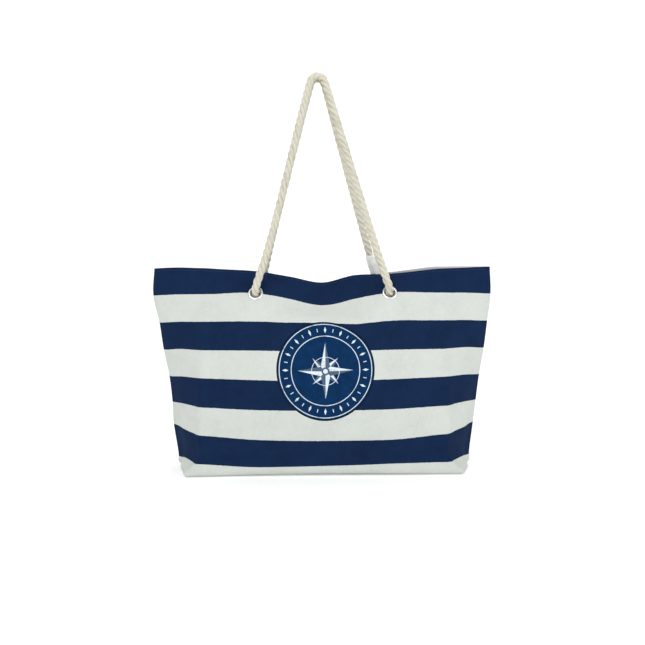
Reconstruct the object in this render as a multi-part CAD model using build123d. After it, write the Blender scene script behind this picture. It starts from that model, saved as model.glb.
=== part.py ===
from build123d import *
import os
from math import atan2, cos, hypot, pi, radians, sin, tan

# Striped canvas beach bag with two rope handles.
# Millimetres. X runs across the bag, the front faces -Y and Z is up. The origin is the
# middle of the base, on the surface that the bag stands on. The front half is modelled
# and the back half is its mirror image.

# ---- bag -----------------------------------------------------------------------
mouth_width = 560.0  # widest place of the bag, just below the rim
base_width = 484.0  # across the ends of the base, seam to seam
base_depth = 150.0  # front to back at the base
side_height = 326.0  # rim above the base at the side seams
rim_dip = 26.0  # how far the rim hangs lower at its middle
rim_turn = 100.0  # where the rim starts to fall, from the middle
base_rounding = 9.0  # radius of the edge round the base
corner_reach = 208.0  # front corner line of the base, from the middle of the bag
spare_height = 6.0  # how far the walls are lofted past the rim before it is cut

# ---- cloth ---------------------------------------------------------------------
canvas_thickness = 1.5
lining_thickness = 1.0
lining_gap = 0.3  # air between canvas and lining

# ---- eyelets -------------------------------------------------------------------
eyelet_reach = 107.0  # eyelet from the middle of the bag
eyelet_drop = 42.0  # eyelet below the rim's height at the side seams
eyelet_lean = 30.0  # degrees that the cloth round an eyelet leans back
bore_clearance = 2.2  # between the rope and an eyelet's bore
barrel_wall = 0.7
flange_width = 3.8  # from the bore to the eyelet's outer edge
flange_height = 1.8
flange_edge = 0.5  # thickness of the flange at its outer edge
washer_thickness = 0.9

# ---- rope ----------------------------------------------------------------------
rope_diameter = 12.0
handle_rise = 324.0  # top of the handles above the rim at the side seams
handle_gap = 1.0  # air between the two ropes where they hang side by side
handle_offset = -7.0  # top of the handles, to one side of the middle
swing_clearance = 3.5  # between the eyelet's cloth and a leg's round end
swing_gap = 0.4  # air between a leg's round end and the rope end in the eyelet
run_share = 0.45  # share of the shorter run that each bend of the rope may use

# ---- knots and sleeve ----------------------------------------------------------
knot_swell = 8.0  # how far a knot stands out round the rope
knot_length = 21.0
knot_rounding = 8.0
tail_length = 26.0
tail_lean = 12.0  # degrees that a rope's tail stands off the upright, inside the bag
sleeve_wall = 3.0
sleeve_length = 40.0
sleeve_start = 22.0  # from the swing point, along the leg

# Shape of the front half. Each list has one entry for each level, from the top of the
# rounded base edge up past the rim. Heights are shares of the height between those two,
# depths are shares of half the base depth, and the seam's spread is a share of the way
# from the base's width to the mouth's.
level_heights = [0.0, 0.20, 0.42, 0.57, 0.70, 0.79, 0.86, 0.94, 1.0]
middle_depths = [1.02, 1.08, 1.05, 0.98, 0.84, 0.44, 0.24, 0.15, 0.14]
eyelet_depths = [1.0, 1.07, 1.03, 0.94, 0.85, 0.80, 0.64, 0.40, 0.24]
corner_depths = [0.93, 0.90, 0.81, 0.68, 0.57, 0.50, 0.44, 0.33, 0.24]
side_depths = [0.56, 0.52, 0.43, 0.36, 0.29, 0.25, 0.22, 0.17, 0.14]
seam_spreads = [0.0, 0.24, 0.44, 0.67, 0.83, 0.95, 1.0, 0.99, 0.98]
side_share = 0.55  # place of the side point, from the corner to the seam
corner_pull = 0.45  # how far the corner moves in as the seam spreads out
base_turns = [0.0, 45.0]  # degrees round the base edge with a section of their own

half_depth = base_depth / 2
loft_rise = side_height + spare_height - base_rounding
cloth_stack = canvas_thickness + lining_gap + lining_thickness
eyelet_height = side_height - eyelet_drop
rope_radius = rope_diameter / 2
bore_radius = rope_radius + bore_clearance
barrel_radius = bore_radius + barrel_wall
eyelet_radius = bore_radius + flange_width
knot_radius = rope_radius + knot_swell
handle_depth = -(rope_diameter + handle_gap) / 2  # front rope from the middle, at the top
swing_standoff = rope_radius + swing_clearance  # swing point in front of the cloth
washer_back = cloth_stack + washer_thickness


def outline(level):
    """Front half of the bag's outer outline at one level, from left seam to right seam."""
    spread = seam_spreads[level] * (mouth_width - base_width) / 2
    seam = base_width / 2 + spread
    corner = corner_reach - spread * corner_pull
    half = [
        (seam, 0.0),
        (corner + (seam - corner) * side_share, -half_depth * side_depths[level]),
        (corner, -half_depth * corner_depths[level]),
        (eyelet_reach, -half_depth * eyelet_depths[level]),
        (eyelet_reach / 2, -half_depth * (eyelet_depths[level] + middle_depths[level]) / 2),
        (0.0, -half_depth * middle_depths[level]),
    ]
    left = [(-x, y) for x, y in half]
    return left + half[-2::-1]


def inset_outline(points, distance):
    """The outline moved inwards, with both ends still on the plane of the seams."""
    if distance == 0:
        return points
    moved = []
    for before, here, after in zip(points, points[1:], points[2:]):
        run_x, run_y = after[0] - before[0], after[1] - before[1]
        run = hypot(run_x, run_y)
        moved.append((here[0] - run_y / run * distance, here[1] + run_x / run * distance))
    slope = atan2(-points[1][1], points[1][0] - points[0][0])
    seam = points[-1][0] - distance / sin(slope)
    return [(-seam, 0.0), *moved, (seam, 0.0)]


def section(level, inset, height):
    """A closed face inside the outline of one level, at a height."""
    points = inset_outline(outline(level), inset)
    front = Spline(*[(x, y, height) for x, y in points])
    return make_face(front + Line(front @ 1, front @ 0))


def front_half(inset):
    """The front half of the bag as a filled body, moved inwards by a depth of cloth."""
    radius = base_rounding - inset
    sections = []
    for turn in base_turns:
        shrink = base_rounding - radius * sin(radians(turn))
        sections.append(section(0, shrink, base_rounding - radius * cos(radians(turn))))
    for level, share in enumerate(level_heights):
        sections.append(section(level, inset, base_rounding + loft_rise * share))
    return loft(sections, ruled=True)


def above_rim():
    """Everything over the rim, which dips from the side seams to the middle."""
    far = mouth_width
    rim = Spline(
        (-far / 2, 0, side_height),
        (-rim_turn, 0, side_height - rim_dip * 0.4),
        (0, 0, side_height - rim_dip),
        (rim_turn, 0, side_height - rim_dip * 0.4),
        (far / 2, 0, side_height),
    )
    frame = Polyline(rim @ 1, (far, 0, side_height), (far, 0, far), (-far, 0, far),
                     (-far, 0, side_height), rim @ 0)
    return extrude(make_face(rim + frame), amount=far, both=True)


def cloth_layer(depth, thickness):
    """One layer of the front half, open at the rim and at the seams, with its eyelet holes."""
    layer = front_half(depth) - front_half(depth + thickness) - above_rim()
    for side in (-1, 1):
        layer -= eyelet_plane(side) * Cylinder(barrel_radius, eyelet_radius * 2)
    return layer


def wall_depth(height):
    """Depth of the outer wall in front of the seams, at an eyelet's distance from the middle."""
    share = (height - base_rounding) / loft_rise
    top = next(index for index, level in enumerate(level_heights) if level >= share)
    low, high = level_heights[top - 1], level_heights[top]
    part = (share - low) / (high - low)
    return half_depth * (eyelet_depths[top - 1] * (1 - part) + eyelet_depths[top] * part)


def eyelet_plane(side):
    """Plane on the cloth at an eyelet, with its normal pointing out of the bag."""
    lean = radians(eyelet_lean)
    middle = (side * eyelet_reach, -wall_depth(eyelet_height), eyelet_height)
    return Plane(origin=middle, x_dir=(1, 0, 0), z_dir=(0, -cos(lean), sin(lean)))


def eyelet(side):
    """Domed flange outside the cloth, with a barrel that runs through every layer."""
    crown = ThreePointArc(
        (eyelet_radius, flange_edge),
        ((bore_radius + eyelet_radius) / 2, flange_height),
        (bore_radius, flange_edge * 2),
    )
    body = Polyline(
        (bore_radius, flange_edge * 2),
        (bore_radius, -washer_back),
        (barrel_radius, -washer_back),
        (barrel_radius, 0),
        (eyelet_radius, 0),
        (eyelet_radius, flange_edge),
    )
    return eyelet_plane(side) * revolve(Plane.XZ * make_face(body + crown), Axis.Z)


def washer(side):
    """Flat ring behind the lining, round the barrel's end."""
    ring = Cylinder(eyelet_radius, washer_thickness) - Cylinder(barrel_radius, washer_thickness)
    return eyelet_plane(side) * Pos(0, 0, -cloth_stack - washer_thickness / 2) * ring


def knot(side):
    """Stopper knot behind the washer, with the rope through the bore and the tail below."""
    heart = -washer_back - knot_length / 2
    lump = Cylinder(knot_radius, knot_length)
    lump = Pos(0, 0, heart) * fillet(lump.edges().filter_by(GeomType.CIRCLE), knot_rounding)
    stub_end = swing_standoff - rope_radius - swing_gap
    stub = Pos(0, 0, (stub_end + heart) / 2) * Cylinder(rope_radius, stub_end - heart)
    lean = radians(tail_lean)
    down = Vector(0, sin(lean), -cos(lean))
    start = (eyelet_plane(side) * Pos(0, 0, heart)).position
    middle = start + down * (knot_radius + tail_length) / 2
    tail = Plane(origin=middle, z_dir=down) * Cylinder(rope_radius, knot_radius + tail_length)
    return eyelet_plane(side) * (lump + stub) + tail


def handle_route():
    """The rope's route, from the left swing point over the top to the right one."""
    left, right = [(eyelet_plane(side) * Pos(0, 0, swing_standoff)).position for side in (-1, 1)]
    top = side_height + handle_rise - rope_radius
    return [
        left,
        Vector(handle_offset - 10.0, handle_depth, top - 3.5),
        Vector(handle_offset, handle_depth, top + 1.2),
        Vector(handle_offset + 10.0, handle_depth, top - 3.5),
        right,
    ]


def bend_radii(route):
    """The largest arc at each point of a route that its two runs leave room for."""
    radii = []
    for before, here, after in zip(route, route[1:], route[2:]):
        turn = radians((here - before).get_angle(after - here))
        run = min((here - before).length, (after - here).length)
        radii.append(run_share * run / tan(turn / 2))
    return radii


def handle_rope():
    """One handle, a round rope with a rounded end at each swing point."""
    route = handle_route()
    radii = bend_radii(route)
    path = FilletPolyline(*route, radius=radii)
    rope = sweep(Plane(origin=path @ 0, z_dir=path % 0) * Circle(rope_radius), path=path)
    print("rope bends", [round(radius, 1) for radius in radii], "length", round(path.length, 1))
    print("rope volume", round(rope.volume), "of", round(pi * rope_radius**2 * path.length))
    cap = Sphere(rope_radius, arc_size1=0, arc_size2=90)
    for end, outward in ((path @ 0, -(path % 0)), (path @ 1, path % 1)):
        rope += Plane(origin=end, z_dir=outward) * cap
    return rope


def rope_sleeve():
    """Smooth sleeve round a handle's right leg, just above its eyelet."""
    route = handle_route()
    along = (route[-2] - route[-1]).normalized()
    middle = route[-1] + along * (sleeve_start + sleeve_length / 2)
    tube = Cylinder(rope_radius + sleeve_wall, sleeve_length) - Cylinder(rope_radius, sleeve_length)
    return Plane(origin=middle, z_dir=along) * tube


def write(name, shape):
    shape.label = name
    export_step(shape, f"parts/{name}.step")


os.makedirs("parts", exist_ok=True)

pieces = {
    "panel": cloth_layer(0, canvas_thickness),
    "lining": cloth_layer(canvas_thickness + lining_gap, lining_thickness),
    "rope": handle_rope(),
}
for side, word in ((-1, "left"), (1, "right")):
    pieces[f"eyelet_{word}"] = eyelet(side)
    pieces[f"washer_{word}"] = washer(side)
    pieces[f"knot_{word}"] = knot(side)

for name, shape in pieces.items():
    write(f"front_{name}", shape)
    write(f"back_{name}", mirror(shape, about=Plane.XZ))
write("back_rope_sleeve", mirror(rope_sleeve(), about=Plane.XZ))
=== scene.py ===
"""Striped canvas beach bag with two laid-rope handles, dressed round its fixed frame."""

import math

import bmesh
import bpy
import numpy as np
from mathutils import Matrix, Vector, noise


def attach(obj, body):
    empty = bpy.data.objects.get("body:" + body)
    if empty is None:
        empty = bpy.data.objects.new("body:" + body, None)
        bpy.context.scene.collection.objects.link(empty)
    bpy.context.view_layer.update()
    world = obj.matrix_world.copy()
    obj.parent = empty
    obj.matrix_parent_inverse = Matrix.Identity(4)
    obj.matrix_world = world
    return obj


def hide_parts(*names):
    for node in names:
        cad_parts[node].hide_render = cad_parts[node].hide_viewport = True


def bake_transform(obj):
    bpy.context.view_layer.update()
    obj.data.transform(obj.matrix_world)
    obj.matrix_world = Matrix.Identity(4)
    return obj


bl_info = {
    "name": "Striped Beach Bag",
    "version": (1, 0, 0),
    "blender": (4, 5, 0),
    "location": "View3D > Sidebar > Beach Bag",
    "description": "Builds the cloth, rope handles and fittings of a striped canvas beach bag",
    "category": "Add Mesh",
}

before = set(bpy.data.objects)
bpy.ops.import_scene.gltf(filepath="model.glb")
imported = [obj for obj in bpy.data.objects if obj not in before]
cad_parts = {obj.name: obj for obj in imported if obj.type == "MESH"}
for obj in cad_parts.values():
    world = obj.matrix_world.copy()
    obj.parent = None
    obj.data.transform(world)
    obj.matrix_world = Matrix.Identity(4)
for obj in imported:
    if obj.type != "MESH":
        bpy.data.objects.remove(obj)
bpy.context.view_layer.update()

MM = 0.001

# Shape of a bag panel, in millimetres. Each row of the cloth is an edge between two
# stripes, counted down from the rim, and each list has one entry a row. The columns stand
# at the side seam, between seam and corner, at the corner, at an eyelet, between eyelet
# and middle, and in the middle.
SEAM_OUT = {
    -1: [280, 282, 272, 265, 256, 251, 249, 241],
    1: [280, 281, 275, 269, 261, 255, 250, 243],
}
CORNER_OUT = [188, 189, 190, 191, 192, 193, 193, 197]
# Where the side column is, as a share of the way from corner to seam.
SIDE_SHARE = 0.56
EYELET_OUT = 107.0
DEPTHS = {
    "side": [12, 17, 22, 26, 31, 36, 40, 40],
    "corner": [22, 34, 43, 51, 60, 66, 70, 74],
    "eyelet": [28, 50, 63, 70, 76, 79, 80, 77],
    "between": [17, 42, 65, 73, 78, 80, 80, 77],
    "middle": [11, 34, 64, 74, 79, 81, 80, 77],
}
HEIGHTS = {
    "seam": [326, 281, 236, 191, 147, 104, 67, 13.3],
    "side": [324.5, 282.5, 238, 194, 150, 107, 66.5, 20],
    "corner": [322.5, 283.5, 239, 194, 151, 106.5, 63.5, 22],
    "eyelet": [317.5, 284, 240, 195, 150, 104, 58.5, 16],
    "between": [311, 274, 238, 194, 148.5, 103, 56.5, 15.5],
    "middle": [301, 263.5, 237, 192, 147, 102.5, 56, 15.5],
}
# The cloth goes on round the base edge and under the bag to the middle of the base. Each
# of these rows is a length of cloth past the last stripe, a share of the way in and a height.
BASE_ROWS = [(12.0, 0.0, 4.5), (17.0, 0.035, 0.8), (24.0, 0.11, 0.0), (88.0, 1.0, 0.0)]
# How much farther out a corner of the base is than the same corner at the last stripe.
BASE_FLARE = {-1: 18.0, 1: 20.5}
# How far each end of the base draws in, once the cloth is under the bag.
BASE_NARROW = {-1: 8.0, 0: 0.0, 1: 3.0}
# How far the seam's lower end is tucked in at the middle of the base.
BASE_TUCK = 30.0
# How high the base stands off the floor in the middle of its edges, the share of that at
# the last stripe, and how far out the base is down again.
BASE_LIFT = 3.5
STRIPE_LIFT = 0.3
BASE_LIFT_REACH = 208.0
# Where two panels meet, the cloth's edge is turned into the bag: how far in from the seam
# and how far from the other panel each of these columns is, and its height on the base.
SEAM_TURN = {
    "edge": (6.0, 0.2, 3.4), "turn": (1.7, 0.2, 3.4), "seam": (0.0, 1.7, 1.7), "ridge": (1.7, 3.4, 0.0),
}
# Columns that keep the fold at a corner crisp: a share of the way from one to another.
FOLD_COLUMNS = {"front_fold": ("corner", "eyelet", 0.12), "side_fold": ("corner", "side", 0.35)}

# Flat width of a panel in metres: the mouth's width and the edges turned in at the seams.
CLOTH_WIDTH = 0.576
# Share of that width which is meshed finer at each seam, and the finer step in metres.
TURNED_SHARE = 0.028
TURNED_STEP = 0.0011
# The lining stops this share of the cloth's width short of each seam, so that it stays
# clear of the turned edges, and starts this far above the canvas at the rim.
LINING_MARGIN = 0.023
LINING_RISE = 0.0004

# Where the cloth stands out or falls in: two ends across and up, width and height.
FRONT_FOLDS = [
    (-92, 296, -50, 276, 10, 2.2), (92, 296, 52, 278, 10, 2.2),
    (-84, 306, -46, 300, 9, -2.6), (84, 306, 46, 302, 9, -2.6),
    (-104, 268, -70, 205, 9, 1.2), (104, 268, 62, 232, 10, 1.8),
    (-112, 266, -150, 190, 12, 1.1), (112, 266, 150, 190, 12, 1.1),
    (70, 226, 20, 214, 14, -1.6), (-60, 250, -14, 238, 12, 1.0),
    (-196, 14, -190, 190, 15, 1.6), (198, 14, 192, 180, 14, 1.8),
    (206, 112, 240, 76, 8, -2.0), (214, 64, 236, 22, 8, -1.8),
    (-206, 96, -238, 60, 9, -1.6), (-150, 30, -60, 24, 14, -1.2),
    (-230, 300, -150, 262, 18, -1.4), (150, 250, 240, 210, 20, 1.6),
    (-175, 150, -110, 120, 18, -1.2), (120, 110, 190, 140, 18, -1.3),
]
BACK_FOLDS = [
    (-92, 296, -48, 272, 10, 2.4), (92, 296, 50, 280, 10, 2.0),
    (-82, 306, -44, 298, 9, -2.4), (86, 306, 40, 303, 9, -2.8),
    (-104, 268, -60, 210, 10, 1.8), (106, 268, 80, 196, 10, 1.4),
    (-112, 266, -160, 200, 12, 1.4), (112, 266, 146, 176, 12, 1.2),
    (-60, 190, 70, 150, 22, -2.0), (-20, 110, 110, 70, 20, -1.6),
    (-196, 14, -190, 190, 9, 2.2), (198, 14, 192, 200, 9, 2.2),
    (-208, 108, -242, 70, 8, -1.8), (210, 90, 238, 40, 9, -1.8),
    (150, 250, 230, 280, 18, -1.6), (-220, 260, -150, 210, 20, 1.4),
]

# The cloth swells unevenly: width, height and depth of a wave in millimetres, then the
# depth of the smaller waves and how many of them go into a large one.
SWELL_WIDTH, SWELL_HEIGHT, SWELL_DEPTH = 95, 80, 1.3
RIPPLE_DEPTH, RIPPLE_RATE = 0.45, 2.9
FOLD_SEED = 3.7
# Folds fade out this near to the seams' plane, and over this height above the floor.
FOLD_FADE = 0.012
FOLD_FLOOR, FOLD_RISE = 0.004, 0.02
# The cloth is drawn flat round an eyelet: how far out, and the width of the change.
FLAT_REACH, FLAT_CHANGE = 0.034, 0.019

# Centre line of a handle, in metres, from the heart of the left knot, out through the
# eyelet, over the top and back to the right knot: how far across its points are, and the
# depth and height that both handles share, from a knot up to the top.
ROUTE_ACROSS = {
    "front": [-0.107, -0.107, -0.1035, -0.0845, -0.0345, -0.0200, -0.0170, -0.0070,
              0.0035, 0.0072, 0.0234, 0.0841, 0.1018, 0.107, 0.107],
    "back": [-0.107, -0.107, -0.1045, -0.0930, -0.0360, -0.0200, -0.0170, -0.0070,
             0.0035, 0.0070, 0.0220, 0.0802, 0.0980, 0.107, 0.107],
}
ROUTE_LEG = [
    (0.0372, 0.2769), (0.0577, 0.2888), (0.0559, 0.3030), (0.0480, 0.3580),
    (0.0170, 0.5720), (0.0082, 0.6290), (0.0065, 0.6405), (0.0065, 0.6452),
]
PANELS = (("front", 0), ("back", 1))

STRIPE_ROWS = 7
# Small differences between one side and the other, in millimetres: which panel, column,
# side and row they are on, and how far the point moves outwards and up.
UNEVEN = [
    ("back", "corner", 1, 0, 0, 4.5), ("back", "side", 1, 0, 0, 2.5),
    ("front", "between", 1, 2, 0, -2.5), ("front", "corner", -1, 7, 5, 0),
    ("front", "corner", -1, 0, 0, 3.0), ("front", "side", -1, 0, 0, 2.5),
    ("front", "eyelet", -1, 0, 0, 2.0), ("front", "eyelet", 1, 0, 0, -3.0),
    ("front", "between", 1, 0, 0, 2.0),
    ("front", "eyelet", -1, 7, 0, -1.5), ("front", "between", -1, 7, 0, -1.0),
    ("front", "eyelet", 1, 7, 0, 2.5), ("front", "between", 1, 7, 0, 1.0),
    ("both", "corner", -1, 7, 0, -0.5), ("both", "corner", 1, 7, 0, -1.5),
    ("both", "side", -1, 7, 0, 1.0), ("front", "eyelet", 1, 6, 0, -1.2),
]


def length_setting(name, description, default):
    """A length that can be set in the bag's panel."""
    return bpy.props.FloatProperty(
        name=name, description=description, default=default, unit="LENGTH")


def colour_setting(name, description, default):
    """A colour that can be set in the bag's panel."""
    return bpy.props.FloatVectorProperty(
        name=name, description=description, default=default, subtype="COLOR", size=3)


class BeachBagSizes(bpy.types.PropertyGroup):
    stripe: length_setting("Stripe", "Width of one stripe of the canvas", 0.045)
    canvas: length_setting("Canvas", "Thickness of the canvas", 0.0015)
    lining: length_setting("Lining", "Thickness of the lining", 0.001)
    lining_gap: length_setting("Lining gap", "Air between canvas and lining", 0.0003)
    mesh_step: length_setting("Mesh step", "Spacing of the cloth's mesh", 0.004)
    thread_pitch: length_setting("Thread pitch", "Spacing of the canvas threads", 0.0009)
    stitch: length_setting("Stitch", "Length of a stitch and the gap after it", 0.0038)
    seam_allowance: length_setting("Seam allowance", "Stitch line to cloth edge", 0.0045)
    eyelet_height: length_setting("Eyelet height", "Eyelet centre above the base", 0.284)
    eyelet_depth: length_setting("Eyelet depth", "Eyelet centre in front of the seams", 0.0495)
    eyelet_hole: length_setting("Eyelet hole", "Radius of the hole cut for an eyelet", 0.0091)
    eyelet_lean: bpy.props.FloatProperty(
        name="Eyelet lean", description="How far the cloth leans back at an eyelet",
        default=math.radians(30), subtype="ANGLE")
    rope: length_setting("Rope", "Diameter of the rope", 0.012)
    rope_lay: length_setting("Rope lay", "Length of one full turn of a strand", 0.036)
    print_radius: length_setting("Print", "Radius of the round print on the front", 0.076)
    print_drop: length_setting("Print drop", "Middle of the print below the rim line", 0.164)


class BeachBagColours(bpy.types.PropertyGroup):
    navy: colour_setting("Navy", "Dark stripes", (0.0056, 0.0164, 0.0500))
    white: colour_setting("White", "Pale stripes", (0.575, 0.610, 0.575))
    print_ground: colour_setting("Print ground", "Disc of the print", (0.0030, 0.0250, 0.0820))
    print_mark: colour_setting("Print marks", "Rings and rose of the print", (0.640, 0.730, 0.790))
    lining: colour_setting("Lining", "Lining cloth", (0.680, 0.660, 0.675))
    rope: colour_setting("Rope", "Cotton rope", (0.668, 0.645, 0.540))
    metal: colour_setting("Metal", "Eyelets and washers", (0.740, 0.750, 0.760))
    sleeve: colour_setting("Sleeve", "Rope sleeve", (0.800, 0.815, 0.780))


# ---- shared helpers ------------------------------------------------------------------

def sizes():
    return bpy.context.scene.beach_bag_sizes


def colours():
    return bpy.context.scene.beach_bag_colours


def deselect_all():
    for item in bpy.context.selected_objects:
        item.select_set(False)


def make_active(item):
    deselect_all()
    item.select_set(True)
    bpy.context.view_layer.objects.active = item


def apply_modifiers(item):
    make_active(item)
    for modifier in list(item.modifiers):
        bpy.ops.object.modifier_apply(modifier=modifier.name)


def new_object(name, data):
    item = bpy.data.objects.new(name, data)
    bpy.context.scene.collection.objects.link(item)
    return item


def mesh_object(name, points, faces, material, uvs=None):
    """A smooth-shaded mesh with its place in its vertices and one UV for each vertex."""
    mesh = bpy.data.meshes.new(name)
    mesh.from_pydata([tuple(point) for point in points], [], [tuple(face) for face in faces])
    mesh.update()
    if uvs is not None:
        layer = mesh.uv_layers.new(name="cloth")
        corners = np.zeros(len(mesh.loops), int)
        mesh.loops.foreach_get("vertex_index", corners)
        layer.data.foreach_set("uv", np.asarray(uvs, float)[corners].ravel())
    mesh.shade_smooth()
    mesh.materials.append(material)
    return new_object(name, mesh)


def grid_faces(rows, columns, closed=False):
    """Quads of a grid whose vertices run row by row, each row joined up if closed."""
    faces = []
    for row in range(rows - 1):
        for column in range(columns if closed else columns - 1):
            after = (column + 1) % columns
            low, high = row * columns, (row + 1) * columns
            faces.append((low + column, low + after, high + after, high + column))
    return faces


def smooth_through(places, values, at):
    """Values at new places, on a smooth curve through the given ones."""
    places, values, at = (np.asarray(item, float) for item in (places, values, at))
    slopes = np.gradient(values, places, axis=0)
    index = np.clip(np.searchsorted(places, at, side="right") - 1, 0, len(places) - 2)
    step = (places[index + 1] - places[index])[:, None]
    share = ((at - places[index]) / (places[index + 1] - places[index]))[:, None]
    square, cube = share ** 2, share ** 3
    return ((2 * cube - 3 * square + 1) * values[index]
            + (cube - 2 * square + share) * step * slopes[index]
            + (3 * square - 2 * cube) * values[index + 1]
            + (cube - square) * step * slopes[index + 1])


# ---- cloth surface ---------------------------------------------------------------------

def cloth_rows():
    """Lengths of cloth below the rim of the control rows, in metres."""
    stripe = sizes().stripe
    edges = [row * stripe for row in range(STRIPE_ROWS + 1)]
    return edges + [edges[-1] + run * MM for run, _, _ in BASE_ROWS]


def control_column(kind, side, back):
    """One column of control points down a panel. Side is -1, 0 or 1 and back is 1 at the rear."""
    if kind in FOLD_COLUMNS:
        first, second, share = FOLD_COLUMNS[kind]
        first, second = (np.array(control_column(near, side, back)) for near in (first, second))
        return first + (second - first) * share
    inset, gap, rise = SEAM_TURN.get(kind, (0.0, 0.0, 0.0))
    level = "seam" if kind in SEAM_TURN else kind
    points = []
    for row in range(STRIPE_ROWS + 1):
        seam, corner = SEAM_OUT[side or 1][row], CORNER_OUT[row]
        out = {
            "seam": seam - inset, "corner": corner, "eyelet": EYELET_OUT,
            "side": corner + (seam - corner) * SIDE_SHARE,
            "between": EYELET_OUT / 2, "middle": 0.0,
        }[level]
        depth = gap if level == "seam" else DEPTHS[level][row]
        points.append([side * out, -depth, HEIGHTS[level][row]])
    for panel, column, hand, row, out, up in UNEVEN:
        if (column, hand) == (level, side) and panel in ("both", "back" if back else "front"):
            points[row][1] -= out
            points[row][2] += up
    across, depth, _ = points[-1]
    lift = BASE_LIFT * max(0.0, 1 - (across / BASE_LIFT_REACH) ** 2)
    base_reach = SEAM_OUT[side or 1][-1]
    flare = {"corner": 1.0, "side": 1.0 - SIDE_SHARE}.get(kind, 0.0) * BASE_FLARE.get(side, 0.0)
    across += side * flare
    points[-1][2] += lift * STRIPE_LIFT
    for _, inward, height in BASE_ROWS:
        under = min(1.0, inward * 10)
        narrower = under * BASE_NARROW[side] * (abs(across) / base_reach) ** 4
        depth_there = depth * (1 - inward)
        if level == "seam":
            narrower += BASE_TUCK * inward
            depth_there = depth
        points.append([across - side * narrower, depth_there, height + lift + rise * under])
    return points


def fold_heights(across, up, folds, seed):
    """How far the cloth stands out at each place, in metres."""
    total = np.zeros_like(across)
    for x0, z0, x1, z1, width, height in folds:
        run_x, run_z = x1 - x0, z1 - z0
        length = math.hypot(run_x, run_z)
        along = ((across - x0) * run_x + (up - z0) * run_z) / length ** 2
        near = np.clip(along, 0, 1)
        far = np.hypot(across - x0 - near * run_x, up - z0 - near * run_z)
        swell = 0.35 + 0.65 * np.sin(np.pi * near)
        total += height * swell * np.exp(-(far / width) ** 2)
    for index in np.ndindex(across.shape):
        place = Vector((across[index] / SWELL_WIDTH, up[index] / SWELL_HEIGHT, seed))
        total[index] += SWELL_DEPTH * noise.noise(place)
        total[index] += RIPPLE_DEPTH * noise.noise(place * RIPPLE_RATE)
    return total * MM


def cloth_surface(shares, rows, back, offset=0.0):
    """Points and outward normals of one panel, at shares across it and lengths below the rim."""
    size = sizes()
    half = ["edge", "turn", "seam", "ridge", "side", "side_fold", "corner", "front_fold",
            "eyelet", "between"]
    layout = [(kind, -1) for kind in half] + [("middle", 0)]
    layout += [(kind, 1) for kind in reversed(half)]
    columns = [smooth_through(cloth_rows(), np.array(control_column(*place, back)) * MM, rows)
               for place in layout]
    net = np.stack(columns, axis=1)
    grid = []
    for controls in net:
        runs = np.linalg.norm(np.diff(controls, axis=0), axis=1)
        places = np.concatenate([[0], np.cumsum(runs)])
        grid.append(smooth_through(places, controls, np.asarray(shares) * places[-1]))
    grid = np.array(grid)
    normals = grid_normals(grid)
    across, up = grid[..., 0], grid[..., 2]
    near_seam = np.minimum(1, np.abs(grid[..., 1]) / FOLD_FADE)
    near_floor = np.clip((up - FOLD_FLOOR) / FOLD_RISE, 0, 1)
    folds = BACK_FOLDS if back else FRONT_FOLDS
    heights = fold_heights(across / MM, up / MM, folds, FOLD_SEED + back)
    grid += normals * (heights * near_seam * near_floor)[..., None]
    for side in (-1, 1):
        away = np.hypot(across - side * EYELET_OUT * MM,
                        (up - size.eyelet_height) / math.cos(size.eyelet_lean))
        weight = np.clip((FLAT_REACH - away) / FLAT_CHANGE, 0, 1)
        weight = weight ** 2 * (3 - 2 * weight)
        flat = -size.eyelet_depth + (up - size.eyelet_height) * math.tan(size.eyelet_lean)
        grid[..., 1] += (flat - grid[..., 1]) * weight
    grid[..., 2] = np.maximum(grid[..., 2], 0.0)
    normals = grid_normals(grid)
    grid -= normals * offset
    if back:
        grid[..., 1] *= -1
        normals[..., 1] *= -1
    return grid, normals


def grid_normals(grid):
    down, along = np.gradient(grid, axis=0), np.gradient(grid, axis=1)
    normals = np.cross(down, along)
    return normals / np.maximum(np.linalg.norm(normals, axis=2, keepdims=True), 1e-12)


def panel_rows(first=0.0):
    step, places = sizes().mesh_step, cloth_rows()
    return np.linspace(first, places[-1], int(round(places[-1] / step)) + 1)


def panel_shares(margin):
    """Shares across a panel, closer together where its edges are turned in."""
    count = int(round((1 - 2 * TURNED_SHARE) * CLOTH_WIDTH / sizes().mesh_step)) + 1
    fine_count = int((TURNED_SHARE - margin) * CLOTH_WIDTH / TURNED_STEP)
    fine = np.linspace(margin, TURNED_SHARE, fine_count, endpoint=False)
    wide = np.linspace(TURNED_SHARE, 1 - TURNED_SHARE, count)
    return np.concatenate([fine, wide, 1 - fine[::-1]])


def cut_eyelet_holes(item):
    """Opens a round hole in a panel at each of its eyelets."""
    size = sizes()
    mesh = bmesh.new()
    mesh.from_mesh(item.data)
    side_of = -1 if min(vertex.co.y for vertex in mesh.verts) < -0.02 else 1
    for side in (-1, 1):
        middle = Vector((side * EYELET_OUT * MM, side_of * size.eyelet_depth, size.eyelet_height))
        inside = [face for face in mesh.faces
                  if (face.calc_center_median() - middle).length < size.eyelet_hole + 0.0008]
        bmesh.ops.delete(mesh, geom=inside, context="FACES")
        for vertex in mesh.verts:
            away = vertex.co - middle
            if vertex.is_boundary and away.length < size.eyelet_hole * 2:
                vertex.co = middle + away.normalized() * size.eyelet_hole
    mesh.to_mesh(item.data)
    mesh.free()


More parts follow.
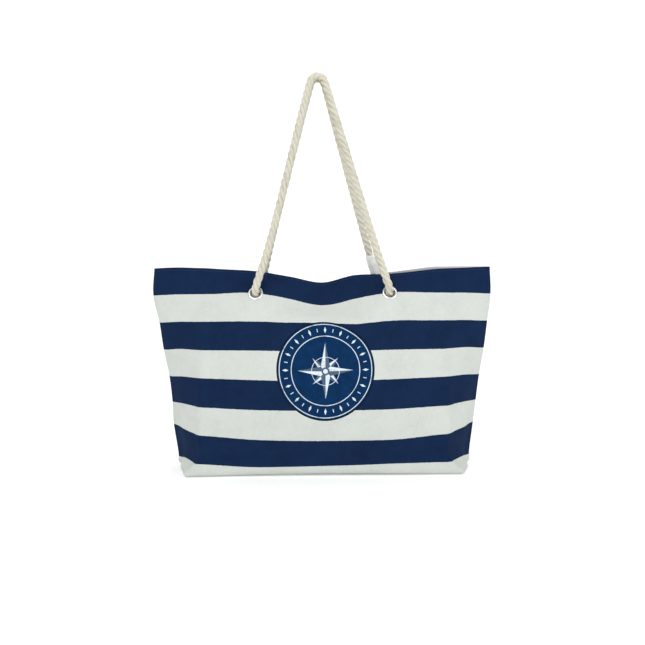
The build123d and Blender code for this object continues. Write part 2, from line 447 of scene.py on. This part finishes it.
def panel_object(name, back, material, first_row, margin, offset, thickness):
    """One layer of cloth on one side of the bag, from seam to seam and rim to base."""
    rows = panel_rows(first_row)
    shares = panel_shares(margin)
    count = len(shares)
    grid, _ = cloth_surface(shares, rows, back, offset)
    if offset:
        sign = 1 if back else -1
        grid[..., 1] = sign * np.maximum(sign * grid[..., 1], thickness + 0.0001)
        grid[..., 2] = np.maximum(grid[..., 2], offset)
    uvs = [((share - 0.5) * CLOTH_WIDTH, row) for row in rows for share in shares]
    faces = grid_faces(len(rows), count)
    if not back:
        faces = [face[::-1] for face in faces]
    item = mesh_object(name, grid.reshape(-1, 3), faces, material, uvs)
    cut_eyelet_holes(item)
    solid = item.modifiers.new("thickness", "SOLIDIFY")
    solid.thickness, solid.offset = thickness, -1
    rounded = item.modifiers.new("rounded edges", "BEVEL")
    rounded.width, rounded.segments = thickness * 0.35, 2
    rounded.limit_method, rounded.angle_limit = "ANGLE", math.radians(60)
    apply_modifiers(item)
    for vertex in item.data.vertices:
        vertex.co.z = max(vertex.co.z, 0.0)
    item.data.shade_smooth()
    return item


# Sizes in the round print, in metres: how far its middle is to one side, the reach and
# waist of each star, the radius and half width of each ring, and the boss in the middle.
PRINT_ASIDE = 0.0015
LONG_STAR, SHORT_STAR = (0.043, 0.0072), (0.028, 0.0062)
PRINT_RINGS = [(0.0716, 0.0006), (0.0530, 0.0006), (0.0215, 0.0004)]
PRINT_BORDER = (0.0752, 0.0009)
BOSS_RADIUS, DOT_RADIUS = 0.0062, 0.0036
# Lozenges and dashes take turns between the two outer rings, at this radius.
MARK_COUNT, MARK_RADIUS = 16, 0.0622
LOZENGE_HALF_WIDTH, LOZENGE_TAPER = 0.0019, 0.38
DASH_HALF_WIDTH, DASH_HALF_LENGTH = 0.0006, 0.0026


# ---- materials -------------------------------------------------------------------------

class Recipe:
    """A material's node tree, with a short method for each kind of node it uses."""

    def __init__(self, name, roughness, metallic=0.0, sheen=0.0, specular=0.5):
        self.material = bpy.data.materials.new(name)
        self.material.use_nodes = True
        self.tree = self.material.node_tree
        self.shader = self.tree.nodes["Principled BSDF"]
        self.shader.inputs["Roughness"].default_value = roughness
        self.shader.inputs["Metallic"].default_value = metallic
        self.shader.inputs["Sheen Weight"].default_value = sheen
        self.shader.inputs["Sheen Roughness"].default_value = 0.5
        self.shader.inputs["Specular IOR Level"].default_value = specular

    def node(self, kind, **settings):
        made = self.tree.nodes.new(kind)
        for key, value in settings.items():
            setattr(made, key, value)
        return made

    def feed(self, value, socket):
        if isinstance(value, bpy.types.NodeSocket):
            self.tree.links.new(value, socket)
        else:
            socket.default_value = value

    def math(self, operation, *values):
        made = self.node("ShaderNodeMath", operation=operation)
        for value, socket in zip(values, made.inputs):
            self.feed(value, socket)
        return made.outputs[0]

    def cloth_place(self):
        """The two coordinates of a point in the cloth itself, and both as a vector."""
        place = self.node("ShaderNodeUVMap", uv_map="cloth").outputs[0]
        parts = self.node("ShaderNodeSeparateXYZ")
        self.feed(place, parts.inputs[0])
        return parts.outputs[0], parts.outputs[1], place

    def object_place(self):
        return self.node("ShaderNodeTexCoord").outputs["Object"]

    def scaled(self, place, x, y, z=1.0):
        made = self.node("ShaderNodeMapping")
        made.inputs["Scale"].default_value = (x, y, z)
        self.feed(place, made.inputs["Vector"])
        return made.outputs[0]

    def noise(self, place, scale, detail=2.0, roughness=0.5):
        made = self.node("ShaderNodeTexNoise")
        made.inputs["Scale"].default_value = scale
        made.inputs["Detail"].default_value = detail
        made.inputs["Roughness"].default_value = roughness
        self.feed(place, made.inputs["Vector"])
        return made.outputs[0]

    def spread(self, value, low, high):
        """A noise value between its usual limits, moved to run from low to high."""
        made = self.node("ShaderNodeMapRange")
        for socket, number in zip(made.inputs[1:5], (0.3, 0.7, low, high)):
            socket.default_value = number
        self.feed(value, made.inputs[0])
        return made.outputs[0]

    def mix(self, share, first, second, blend="MIX"):
        made = self.node("ShaderNodeMix", data_type="RGBA", blend_type=blend)
        made.clamp_factor = True
        self.feed(share, made.inputs[0])
        for value, socket in ((first, made.inputs[6]), (second, made.inputs[7])):
            self.feed((*value, 1.0) if isinstance(value, (tuple, list)) else value, socket)
        return made.outputs[2]

    def bump(self, height, distance, strength=1.0, after=None):
        made = self.node("ShaderNodeBump")
        made.inputs["Strength"].default_value = strength
        made.inputs["Distance"].default_value = distance
        self.feed(height, made.inputs["Height"])
        if after is not None:
            self.feed(after, made.inputs["Normal"])
        return made.outputs[0]

    def finish(self, colour, roughness, normal):
        self.feed(colour, self.shader.inputs["Base Color"])
        self.feed(roughness, self.shader.inputs["Roughness"])
        self.feed(normal, self.shader.inputs["Normal"])
        return self.material


def shaded(colour, factor):
    return tuple(channel * factor for channel in colour)


def weave(recipe, across, down, pitch):
    """Height of a plain weave: rounded crossings, every second one raised."""
    calc = recipe.math
    waves = [calc("SINE", calc("MULTIPLY", place, math.pi / pitch)) for place in (across, down)]
    crossing = calc("MULTIPLY", *waves)
    raised = calc("GREATER_THAN", crossing, 0.0)
    pillow = calc("POWER", calc("ABSOLUTE", crossing), 0.6)
    return calc("MULTIPLY_ADD", raised, 0.22, pillow)


def stripe_mask(recipe, across, down, place):
    """1 on the dark stripes and 0 on the pale ones and under the base."""
    calc = recipe.math
    stripe = sizes().stripe
    waver = recipe.spread(recipe.noise(recipe.scaled(place, 1, 1), 260.0), -0.00025, 0.00025)
    edge = calc("ADD", down, waver)
    phase = calc("FRACT", calc("DIVIDE", edge, stripe * 2))
    dark = calc("LESS_THAN", phase, 0.5)
    return calc("MULTIPLY", dark, calc("LESS_THAN", edge, stripe * (STRIPE_ROWS + 0.02)))


def canvas_material(name, printed):
    """Striped cotton canvas, with the round print where asked for."""
    size, colour = sizes(), colours()
    recipe = Recipe(name, 0.85, specular=0.05)
    across, down, place = recipe.cloth_place()
    slub = recipe.noise(recipe.scaled(place, 900, 90), 1.0, 3.0)
    cross_slub = recipe.noise(recipe.scaled(place, 90, 900), 1.0, 3.0)
    cloud = recipe.noise(place, 22.0, 4.0, 0.6)
    threads = recipe.math("ADD", slub, cross_slub)
    tone = recipe.math("MULTIPLY_ADD", threads, 0.22, recipe.spread(cloud, 0.74, 0.82))
    navy = tuple(colour.navy)
    dark = recipe.mix(recipe.spread(cloud, 0, 1), shaded(navy, 0.86), shaded(navy, 1.22))
    mottled = recipe.noise(place, 160.0, 3.0)
    dark = recipe.mix(recipe.spread(mottled, 0, 0.5), dark, shaded(navy, 1.4))
    pale = recipe.mix(recipe.spread(cloud, 0, 1), shaded(colour.white, 0.96), tuple(colour.white))
    pale = recipe.mix(recipe.spread(mottled, 0, 0.2), pale, (0.50, 0.52, 0.46))
    cloth = recipe.mix(stripe_mask(recipe, across, down, place), pale, dark)
    if printed:
        cloth = print_colour(recipe, across, down, place, cloth)
    toned = recipe.mix(1.0, cloth, recipe.mix(tone, (0, 0, 0), (1, 1, 1)), "MULTIPLY")
    height = weave(recipe, across, down, size.thread_pitch)
    normal = recipe.bump(height, 0.00012, 0.55)
    normal = recipe.bump(cloud, 0.0012, 0.35, normal)
    return recipe.finish(toned, recipe.spread(mottled, 0.78, 0.92), normal)


def ring_mask(recipe, radius, middle, half):
    away = recipe.math("ABSOLUTE", recipe.math("SUBTRACT", radius, middle))
    return recipe.math("LESS_THAN", away, half)


def star_mask(recipe, x, y, reach, waist):
    """A four-pointed star with its points on the axes, and the lit half of each point."""
    calc = recipe.math
    wide, high = calc("ABSOLUTE", x), calc("ABSOLUTE", y)
    most, least = calc("MAXIMUM", wide, high), calc("MINIMUM", wide, high)
    slope = (1 - waist / reach) / waist
    edge = calc("ADD", calc("DIVIDE", most, reach), calc("MULTIPLY", least, slope))
    inside = calc("LESS_THAN", edge, 1.0)
    turn = calc("GREATER_THAN", calc("MULTIPLY", x, y), 0.0)
    steep = calc("GREATER_THAN", high, wide)
    lit = calc("ABSOLUTE", calc("SUBTRACT", turn, steep))
    return inside, lit


def print_colour(recipe, across, down, place, cloth):
    """The round print: a compass rose, rings, and marks like those of a compass card."""
    calc = recipe.math
    size, colour = sizes(), colours()
    x = calc("SUBTRACT", across, PRINT_ASIDE)
    y = calc("SUBTRACT", size.print_drop, down)
    radius = calc("SQRT", calc("ADD", calc("MULTIPLY", x, x), calc("MULTIPLY", y, y)))
    angle = calc("ARCTAN2", x, y)
    slant = math.sqrt(0.5)
    slant_x = calc("MULTIPLY", calc("ADD", x, y), slant)
    slant_y = calc("MULTIPLY", calc("SUBTRACT", y, x), slant)
    long_star, long_lit = star_mask(recipe, x, y, *LONG_STAR)
    short_star, short_lit = star_mask(recipe, slant_x, slant_y, *SHORT_STAR)
    only_short = calc("MULTIPLY", short_star, calc("SUBTRACT", 1.0, long_star))
    rose = calc("ADD", calc("MULTIPLY", long_star, long_lit), calc("MULTIPLY", only_short, short_lit))
    shade = calc("ADD", long_star, only_short)
    boss = calc("LESS_THAN", radius, BOSS_RADIUS)
    dot = calc("LESS_THAN", radius, DOT_RADIUS)
    rings = ring_mask(recipe, radius, *PRINT_RINGS[0])
    for ring in PRINT_RINGS[1:]:
        rings = calc("MAXIMUM", rings, ring_mask(recipe, radius, *ring))
    turns = calc("MULTIPLY", angle, MARK_COUNT / (2 * math.pi))
    nearest = calc("ABSOLUTE", calc("SUBTRACT", turns, calc("ROUND", turns)))
    pitch = calc("MULTIPLY", radius, 2 * math.pi / MARK_COUNT)
    sideways = calc("MULTIPLY", nearest, pitch)
    outward = calc("ABSOLUTE", calc("SUBTRACT", radius, MARK_RADIUS))
    tapered = calc("ADD", sideways, calc("MULTIPLY", outward, LOZENGE_TAPER))
    lozenge = calc("LESS_THAN", tapered, LOZENGE_HALF_WIDTH)
    between = calc("MULTIPLY", calc("SUBTRACT", 0.5, nearest), pitch)
    dash = calc("MULTIPLY", calc("LESS_THAN", between, DASH_HALF_WIDTH),
                calc("LESS_THAN", outward, DASH_HALF_LENGTH))
    marks = calc("MAXIMUM", rings, calc("MAXIMUM", lozenge, dash))
    marks = calc("MAXIMUM", marks, rose)
    marks = calc("MULTIPLY", marks, calc("SUBTRACT", 1.0, boss))
    marks = calc("MAXIMUM", marks, dot)
    speckle = recipe.noise(place, 520.0, 4.0, 0.7)
    patch = recipe.noise(place, 75.0, 2.0)
    ink = calc("ADD", calc("MULTIPLY", speckle, 0.7), calc("MULTIPLY", patch, 0.6))
    kept = recipe.spread(calc("SUBTRACT", ink, 0.06), 0.0, 1.5)
    marks = calc("MULTIPLY", marks, calc("MINIMUM", kept, 1.0))
    ground = recipe.mix(recipe.spread(patch, 0, 1), shaded(colour.print_ground, 0.85),
                        shaded(colour.print_ground, 1.2))
    ground = recipe.mix(calc("MULTIPLY", shade, 0.12), ground, tuple(colour.print_mark))
    ground = recipe.mix(ring_mask(recipe, radius, *PRINT_BORDER), ground, (0.004, 0.008, 0.016))
    pattern = recipe.mix(marks, ground, tuple(colour.print_mark))
    return recipe.mix(calc("LESS_THAN", radius, size.print_radius), cloth, pattern)


def lining_material():
    colour = colours()
    recipe = Recipe("lining_cloth", 0.8, sheen=0.03, specular=0.2)
    across, down, place = recipe.cloth_place()
    cloud = recipe.noise(place, 30.0, 4.0, 0.6)
    slub = recipe.noise(recipe.scaled(place, 1200, 120), 1.0, 3.0)
    base = recipe.mix(recipe.spread(cloud, 0, 1), shaded(colour.lining, 0.90),
                      shaded(colour.lining, 1.04))
    base = recipe.mix(recipe.spread(slub, 0, 0.35), base, shaded(colour.lining, 0.84))
    normal = recipe.bump(weave(recipe, across, down, 0.0006), 0.00007, 0.5)
    normal = recipe.bump(cloud, 0.0015, 0.4, normal)
    return recipe.finish(base, recipe.spread(cloud, 0.72, 0.88), normal)


def rope_material():
    """Cotton yarns laid along each strand, with loose fibres, a little soiling and painted shade in the
    grooves between the yarns.
    """
    colour = colours()
    recipe = Recipe("cotton_rope", 0.9, sheen=0.05, specular=0.15)
    along, round_, place = recipe.cloth_place()
    turn = recipe.math("MULTIPLY_ADD", along, 1 / 0.021, round_)
    yarn = recipe.math("ABSOLUTE", recipe.math("SINE", recipe.math("MULTIPLY", turn, math.pi * 8)))
    fibre = recipe.noise(recipe.scaled(place, 2400, 22), 1.0, 3.0)
    soil = recipe.noise(recipe.object_place(), 55.0, 4.0, 0.6)
    # Painted shade: the grooves between the yarns are darkened in the colour, standing in for the shade
    # that falls in them.
    painted_groove_shade = recipe.math("SUBTRACT", 1.0, recipe.math("POWER", yarn, 0.5))
    base = recipe.mix(recipe.spread(soil, 0, 1), shaded(colour.rope, 0.90), tuple(colour.rope))
    base = recipe.mix(recipe.spread(fibre, 0, 0.4), base, shaded(colour.rope, 1.16))
    base = recipe.mix(recipe.math("MULTIPLY", painted_groove_shade, 0.55), base, shaded(colour.rope, 0.48))
    normal = recipe.bump(yarn, 0.0005, 0.7)
    normal = recipe.bump(fibre, 0.0003, 0.5, normal)
    return recipe.finish(base, recipe.spread(fibre, 0.82, 0.96), normal)


def metal_material():
    """Bright plated metal with fine scratches and a dull bloom."""
    recipe = Recipe("eyelet_metal", 0.2, metallic=1.0)
    place = recipe.object_place()
    scratch = recipe.noise(recipe.scaled(place, 300, 300, 4200), 1.0, 4.0)
    bloom = recipe.noise(place, 240.0, 3.0)
    colour = colours().metal
    base = recipe.mix(recipe.spread(bloom, 0, 1), shaded(colour, 0.88), shaded(colour, 1.05))
    return recipe.finish(base, recipe.spread(scratch, 0.14, 0.30), recipe.bump(scratch, 0.00003))


def thread_material(name, colour):
    recipe = Recipe(name, 0.75)
    place = recipe.object_place()
    twist = recipe.noise(recipe.scaled(place, 2500, 2500, 2500), 1.0, 2.0)
    base = recipe.mix(recipe.spread(twist, 0, 1), shaded(colour, 0.75), shaded(colour, 1.15))
    return recipe.finish(base, recipe.spread(twist, 0.65, 0.85), recipe.bump(twist, 0.0001))


def sleeve_material():
    recipe = Recipe("rope_sleeve", 0.45)
    place = recipe.object_place()
    cloud = recipe.noise(place, 90.0, 4.0)
    grain = recipe.noise(place, 1500.0, 2.0)
    colour = colours().sleeve
    base = recipe.mix(recipe.spread(cloud, 0, 1), shaded(colour, 0.9), shaded(colour, 1.06))
    normal = recipe.bump(grain, 0.0001, 0.4)
    return recipe.finish(base, recipe.spread(cloud, 0.38, 0.55), recipe.bump(cloud, 0.001, 0.4, normal))


def floor_material():
    recipe = Recipe("studio_floor", 0.9)
    recipe.shader.inputs["Emission Color"].default_value = (1.0, 1.0, 1.0, 1.0)
    recipe.shader.inputs["Emission Strength"].default_value = 0.16
    soft = recipe.noise(recipe.object_place(), 3.0, 2.0)
    base = recipe.mix(recipe.spread(soft, 0, 1), (0.93, 0.93, 0.93), (0.96, 0.96, 0.96))
    return recipe.finish(base, recipe.spread(soft, 0.85, 0.95), recipe.bump(soft, 0.001, 0.05))


# ---- rope ------------------------------------------------------------------------------

# Radius of a strand and its distance from the rope's middle, as shares of the rope's
# diameter, and the share of its radius that a strand keeps at its end.
STRAND_RADIUS, STRAND_OFFSET, STRAND_END = 0.28, 0.265, 0.6
# A line's points are at least this far apart, in metres.
LINE_STEP = 0.0013
# Stopper knot, in metres: the size of its turns, how far its heart and its first point are
# behind the eyelet's face, and how far its tail hangs down and bows. Its rope is drawn
# tighter than the handle's, by the last value.
KNOT_SCALE, KNOT_HEART, KNOT_START = 0.0046, 0.0150, 0.0045
TAIL_DROP, TAIL_BOW, TAIL_STEPS = 0.030, 0.008, 13
KNOT_TIGHTNESS = 0.86
# The sleeve's two ends, measured back along the rope, and its wall with the air inside.
SLEEVE_FROM, SLEEVE_TO, SLEEVE_WALL = 0.0457, 0.0857, 0.0028


def handle_route(word, back):
    """Points of a handle's centre line, up one leg and down the other."""
    legs = ROUTE_LEG + ROUTE_LEG[-2::-1]
    return [(across, depth if back else -depth, height)
            for across, (depth, height) in zip(ROUTE_ACROSS[word], legs)]


def route_line(name, route):
    """Points along the smooth line of a route."""
    curve = bpy.data.curves.new(name, "CURVE")
    curve.dimensions = "3D"
    spline = curve.splines.new("NURBS")
    spline.points.add(len(route) - 1)
    for point, place in zip(spline.points, route):
        point.co = (*place, 1.0)
    spline.order_u = 3
    spline.use_endpoint_u = True
    spline.resolution_u = 160
    holder = new_object(name, curve)
    line = bpy.data.meshes.new_from_object(holder)
    read = [np.array(vertex.co) for vertex in line.vertices]
    bpy.data.objects.remove(holder)
    bpy.data.curves.remove(curve)
    bpy.data.meshes.remove(line)
    kept = [read[0]]
    for place in read[1:]:
        if np.linalg.norm(place - kept[-1]) >= LINE_STEP:
            kept.append(place)
    return np.array(kept)


def line_frames(line):
    """Direction and two sideways vectors at each point, turning as little as they can."""
    ahead = np.gradient(line, axis=0)
    ahead /= np.linalg.norm(ahead, axis=1, keepdims=True)
    first = np.cross(ahead[0], (0.0, 1.0, 0.0))
    if np.linalg.norm(first) < 0.1:
        first = np.cross(ahead[0], (1.0, 0.0, 0.0))
    side = [first / np.linalg.norm(first)]
    for direction in ahead[1:]:
        carried = side[-1] - direction * np.dot(side[-1], direction)
        side.append(carried / np.linalg.norm(carried))
    side = np.array(side)
    return ahead, side, np.cross(ahead, side)


def line_lengths(line):
    return np.concatenate([[0], np.cumsum(np.linalg.norm(np.diff(line, axis=0), axis=1))])


def tube(line, radii, sides=10):
    """Vertices, faces and UVs of a round tube along a line, closed at both ends."""
    _, side, over = line_frames(line)
    lengths = line_lengths(line)
    turns = np.arange(sides) / sides * 2 * math.pi
    ring = side[:, None] * np.cos(turns)[:, None] + over[:, None] * np.sin(turns)[:, None]
    points = line[:, None] + ring * np.asarray(radii)[:, None, None]
    points = list(points.reshape(-1, 3)) + [line[0], line[-1]]
    faces = [face[::-1] for face in grid_faces(len(line), sides, closed=True)]
    last, start, end = (len(line) - 1) * sides, len(line) * sides, len(line) * sides + 1
    for index in range(sides):
        after = (index + 1) % sides
        faces += [(start, index, after), (end, last + after, last + index)]
    uvs = [(length, turn / (2 * math.pi)) for length in lengths for turn in turns]
    return points, faces, uvs + [(lengths[0], 0.0), (lengths[-1], 0.0)]


def laid_rope(name, line, diameter, material):
    """Three strands laid round each other along a line, as one mesh."""
    size = sizes()
    _, side, over = line_frames(line)
    lengths = line_lengths(line)
    strand = diameter * STRAND_RADIUS
    offset = diameter * STRAND_OFFSET
    points, faces, uvs = [], [], []
    for index in range(3):
        turn = -2 * math.pi * lengths / size.rope_lay + index * 2 * math.pi / 3
        centre = line + offset * (side * np.cos(turn)[:, None] + over * np.sin(turn)[:, None])
        radii = np.full(len(centre), strand)
        radii[[0, -1]] *= STRAND_END
        new_points, new_faces, new_uvs = tube(centre, radii)
        base = len(points)
        points += list(new_points)
        faces += [tuple(corner + base for corner in face) for face in new_faces]
        uvs += [(u, v + index * 0.37) for u, v in new_uvs]
    return mesh_object(name, points, faces, material, uvs)


def eyelet_frame(side, back):
    """Centre of an eyelet's face and the outward normal of the cloth there."""
    size = sizes()
    sign = 1 if back else -1
    centre = np.array([side * EYELET_OUT * MM, sign * size.eyelet_depth, size.eyelet_height])
    normal = np.array([0.0, sign * math.cos(size.eyelet_lean), math.sin(size.eyelet_lean)])
    return centre, normal


def knot_line(side, back):
    """Centre line of a stopper knot: the rope turns three times through itself and hangs down."""
    centre, normal = eyelet_frame(side, back)
    across = np.array([float(side), 0.0, 0.0])
    upward = np.cross(across, normal)
    upward *= math.copysign(1.0, upward[2])
    heart = centre - normal * KNOT_HEART
    line = [centre - normal * KNOT_START]
    for turn in np.linspace(0.35, 2 * math.pi - 0.30, 96):
        wide = 2 + math.cos(3 * turn)
        wide *= min(1.0, 0.45 + turn * 0.45)
        line.append(heart + KNOT_SCALE * (across * wide * math.cos(2 * turn)
                                          + upward * wide * math.sin(2 * turn)
                                          + normal * math.sin(3 * turn)))
    down = np.array([0.0, (-1 if back else 1) * 0.20, -1.0])
    end = line[-1]
    for step in range(1, TAIL_STEPS + 1):
        drop = step / TAIL_STEPS
        bow = normal * TAIL_BOW * math.sin(math.pi * drop / 2)
        line.append(end + down * TAIL_DROP * drop - bow)
    route = [tuple(place) for place in line[:1] + line[1:97:4] + line[97::4]]
    return route_line("knot route", route)


# ---- operators -------------------------------------------------------------------------

# Floor and backdrop, in metres, and the lights: name, place, width and power.
FLOOR_WIDTH, FLOOR_FRONT, FLOOR_BACK, WALL_HEIGHT = 12.0, -5.0, 3.0, 5.0
LIGHT_TARGET = (0.0, 0.0, 0.25)
LIGHTS = [
    ("key", (-0.9, -2.0, 2.1), 1.6, 30.0),
    ("fill", (1.8, -1.6, 1.3), 2.0, 17.5),
    ("back", (0.4, 1.8, 2.2), 1.8, 14.0),
]
CAMERA_PLACE = (-0.0073, -1.05, 0.2975)
CAMERA_TARGET = (0.0, 0.0, 0.3)
CAMERA_ROLL = math.radians(0.33)


class AddPanels(bpy.types.Operator):
    """Adds the striped canvas of the bag's front and back"""
    bl_idname = "beach_bag.add_panels"
    bl_label = "Canvas Panels"

    def execute(self, context):
        size = sizes()
        for word, back in PANELS:
            material = canvas_material(f"striped_canvas_{word}", printed=not back)
            item = panel_object(f"{word}_canvas", back, material, 0.0, 0.0, 0.0, size.canvas)
            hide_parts(f"{word}_panel")
            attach(item, "bag")
        return {"FINISHED"}


class AddLinings(bpy.types.Operator):
    """Adds the pale lining inside each panel"""
    bl_idname = "beach_bag.add_linings"
    bl_label = "Linings"

    def execute(self, context):
        size = sizes()
        material = lining_material()
        for word, back in PANELS:
            item = panel_object(f"{word}_lining_cloth", back, material, -LINING_RISE,
                                LINING_MARGIN, size.canvas + size.lining_gap, size.lining)
            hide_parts(f"{word}_lining")
            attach(item, "bag")
        return {"FINISHED"}


class AddStitching(bpy.types.Operator):
    """Sews the rim, one small stitch after another"""
    bl_idname = "beach_bag.add_stitching"
    bl_label = "Stitching"

    def stitch_shape(self):
        deselect_all()
        bpy.ops.mesh.primitive_uv_sphere_add(segments=6, ring_count=4, radius=1.0)
        stitch = bpy.context.object
        stitch.scale = (0.0013, 0.00032, 0.00026)
        bpy.ops.object.transform_apply(location=False, rotation=False, scale=True)
        points = np.array([vertex.co for vertex in stitch.data.vertices])
        faces = [tuple(face.vertices) for face in stitch.data.polygons]
        bpy.data.objects.remove(stitch)
        return points, faces

    def sew(self, name, places, normals, material, shape):
        """One mesh of stitches along a line on the cloth."""
        lengths = line_lengths(places)
        ahead = np.gradient(places, axis=0)
        points, faces = [], []
        for at in np.arange(sizes().stitch, lengths[-1] - sizes().stitch, sizes().stitch):
            index = int(np.searchsorted(lengths, at))
            direction = ahead[index] / np.linalg.norm(ahead[index])
            normal = normals[index]
            sideways = np.cross(normal, direction)
            base = len(points)
            for x, y, z in shape[0]:
                points.append(places[index] + direction * x + sideways * y + normal * (z + 0.0001))
            faces += [tuple(corner + base for corner in face) for face in shape[1]]
        item = mesh_object(name, points, faces, material)
        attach(item, "bag")

    def execute(self, context):
        size, colour = sizes(), colours()
        shape = self.stitch_shape()
        rim_thread = thread_material("navy_thread", shaded(colour.navy, 2.6))
        drop = size.seam_allowance
        fine = np.linspace(0.024, 0.976, 700)
        for word, back in PANELS:
            rows = [drop - 0.001, drop, drop + 0.001]
            grid, normals = cloth_surface(fine, rows, back)
            self.sew(f"{word}_rim_stitches", grid[1], normals[1], rim_thread, shape)
        return {"FINISHED"}


class FinishEyelets(bpy.types.Operator):
    """Gives the eyelets and their washers a bright plated finish"""
    bl_idname = "beach_bag.finish_eyelets"
    bl_label = "Eyelets"

    def execute(self, context):
        metal = metal_material()
        for name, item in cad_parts.items():
            if "eyelet" in name or "washer" in name:
                item.data.materials.clear()
                item.data.materials.append(metal)
        return {"FINISHED"}


class AddHandles(bpy.types.Operator):
    """Adds the two rope handles, their stopper knots and the sleeve"""
    bl_idname = "beach_bag.add_handles"
    bl_label = "Rope Handles"

    def execute(self, context):
        size = sizes()
        cotton = rope_material()
        for word, back in PANELS:
            line = route_line(f"{word} route", handle_route(word, back))
            rope = laid_rope(f"{word}_handle_rope", line, size.rope, cotton)
            knots = []
            for side, hand in ((-1, "left"), (1, "right")):
                knot = laid_rope(f"{word}_stopper_knot_{hand}", knot_line(side, back),
                                 size.rope * KNOT_TIGHTNESS, cotton)
                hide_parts(f"{word}_knot_{hand}")
                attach(knot, "bag")
                knots.append(knot)
            pieces = knots + ([self.sleeve(line)] if back else [])
            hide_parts(f"{word}_rope")
            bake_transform(rope)
        return {"FINISHED"}

    def sleeve(self, line):
        """Smooth sleeve round the back handle's right leg, just above the rim."""
        lengths = line_lengths(line)
        from_end = lengths[-1] - lengths
        leg = line[(from_end > SLEEVE_FROM) & (from_end < SLEEVE_TO)][::2]
        wall = sizes().rope / 2 + SLEEVE_WALL
        share = np.linspace(0, 1, len(leg))
        radii = wall + 0.00035 * np.sin(share * 19) * np.sin(share * math.pi)
        radii[[0, -1]] = wall - 0.0004
        points, faces, uvs = tube(leg, radii, 32)
        item = mesh_object("back_handle_sleeve", points, faces, sleeve_material(), uvs)
        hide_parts("back_rope_sleeve")
        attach(item, "back_handle")
        return item


class AddStage(bpy.types.Operator):
    """Adds the floor with its curved backdrop, the lights and the camera"""
    bl_idname = "beach_bag.add_stage"
    bl_label = "Stage"

    def floor(self):
        deselect_all()
        bpy.ops.mesh.primitive_plane_add(size=1.0)
        floor = bpy.context.object
        floor.name = "studio_floor"
        bpy.ops.object.mode_set(mode="EDIT")
        mesh = bmesh.from_edit_mesh(floor.data)
        for vertex in mesh.verts:
            vertex.co.x *= FLOOR_WIDTH
            vertex.co.y = FLOOR_BACK if vertex.co.y > 0 else FLOOR_FRONT
        for edge in mesh.edges:
            edge.select_set(all(vertex.co.y > 0 for vertex in edge.verts))
        bmesh.update_edit_mesh(floor.data)
        bpy.ops.mesh.select_mode(type="EDGE")
        bpy.ops.mesh.extrude_region_move(TRANSFORM_OT_translate={"value": (0, 0, WALL_HEIGHT)})
        bpy.ops.object.mode_set(mode="OBJECT")
        curve = floor.modifiers.new("cove", "BEVEL")
        curve.width, curve.segments = 1.6, 24
        apply_modifiers(floor)
        floor.data.materials.append(floor_material())
        floor.data.shade_smooth()

    def light(self, name, place, width, power):
        lamp = bpy.data.lights.new(name, "AREA")
        lamp.shape, lamp.size, lamp.energy = "SQUARE", width, power
        holder = new_object(name, lamp)
        holder.location = place
        toward = Vector(LIGHT_TARGET) - Vector(place)
        holder.rotation_euler = toward.to_track_quat("-Z", "Y").to_euler()

    def execute(self, context):
        self.floor()
        for light in LIGHTS:
            self.light(*light)
        world = bpy.data.worlds.new("studio")
        world.use_nodes = True
        sky = world.node_tree.nodes["Background"]
        sky.inputs["Color"].default_value = (1.0, 1.0, 1.0, 1.0)
        sky.inputs["Strength"].default_value = 0.70
        context.scene.world = world
        context.scene.view_settings.view_transform = "Standard"
        view = bpy.data.cameras.new("camera")
        view.sensor_width, view.lens, view.shift_y = 36.0, 35.05, -0.0612
        camera = new_object("camera", view)
        camera.location = CAMERA_PLACE
        toward = Vector(CAMERA_TARGET) - camera.location
        facing = toward.to_track_quat("-Z", "Y").to_euler()
        facing.y += CAMERA_ROLL
        camera.rotation_euler = facing
        context.scene.camera = camera
        return {"FINISHED"}


class BeachBagPanel(bpy.types.Panel):
    """Lists the steps that build the bag"""
    bl_idname = "VIEW3D_PT_beach_bag"
    bl_label = "Beach Bag"
    bl_space_type = "VIEW_3D"
    bl_region_type = "UI"
    bl_category = "Beach Bag"

    def draw(self, context):
        for step in STEPS:
            self.layout.operator(step.bl_idname)
        for group in (context.scene.beach_bag_sizes, context.scene.beach_bag_colours):
            for name in group.bl_rna.properties.keys():
                if name not in ("rna_type", "name"):
                    self.layout.prop(group, name)


STEPS = (AddStage, AddHandles, AddPanels, AddLinings, AddStitching, FinishEyelets)
CLASSES = (BeachBagSizes, BeachBagColours, *STEPS, BeachBagPanel)


def register():
    for item in CLASSES:
        bpy.utils.register_class(item)
    bpy.types.Scene.beach_bag_sizes = bpy.props.PointerProperty(type=BeachBagSizes)
    bpy.types.Scene.beach_bag_colours = bpy.props.PointerProperty(type=BeachBagColours)


def unregister():
    del bpy.types.Scene.beach_bag_colours
    del bpy.types.Scene.beach_bag_sizes
    for item in reversed(CLASSES):
        bpy.utils.unregister_class(item)


def main():
    register()
    for step in STEPS:
        family, name = step.bl_idname.split(".")
        getattr(getattr(bpy.ops, family), name)()


if __name__ == "__main__":
    main()
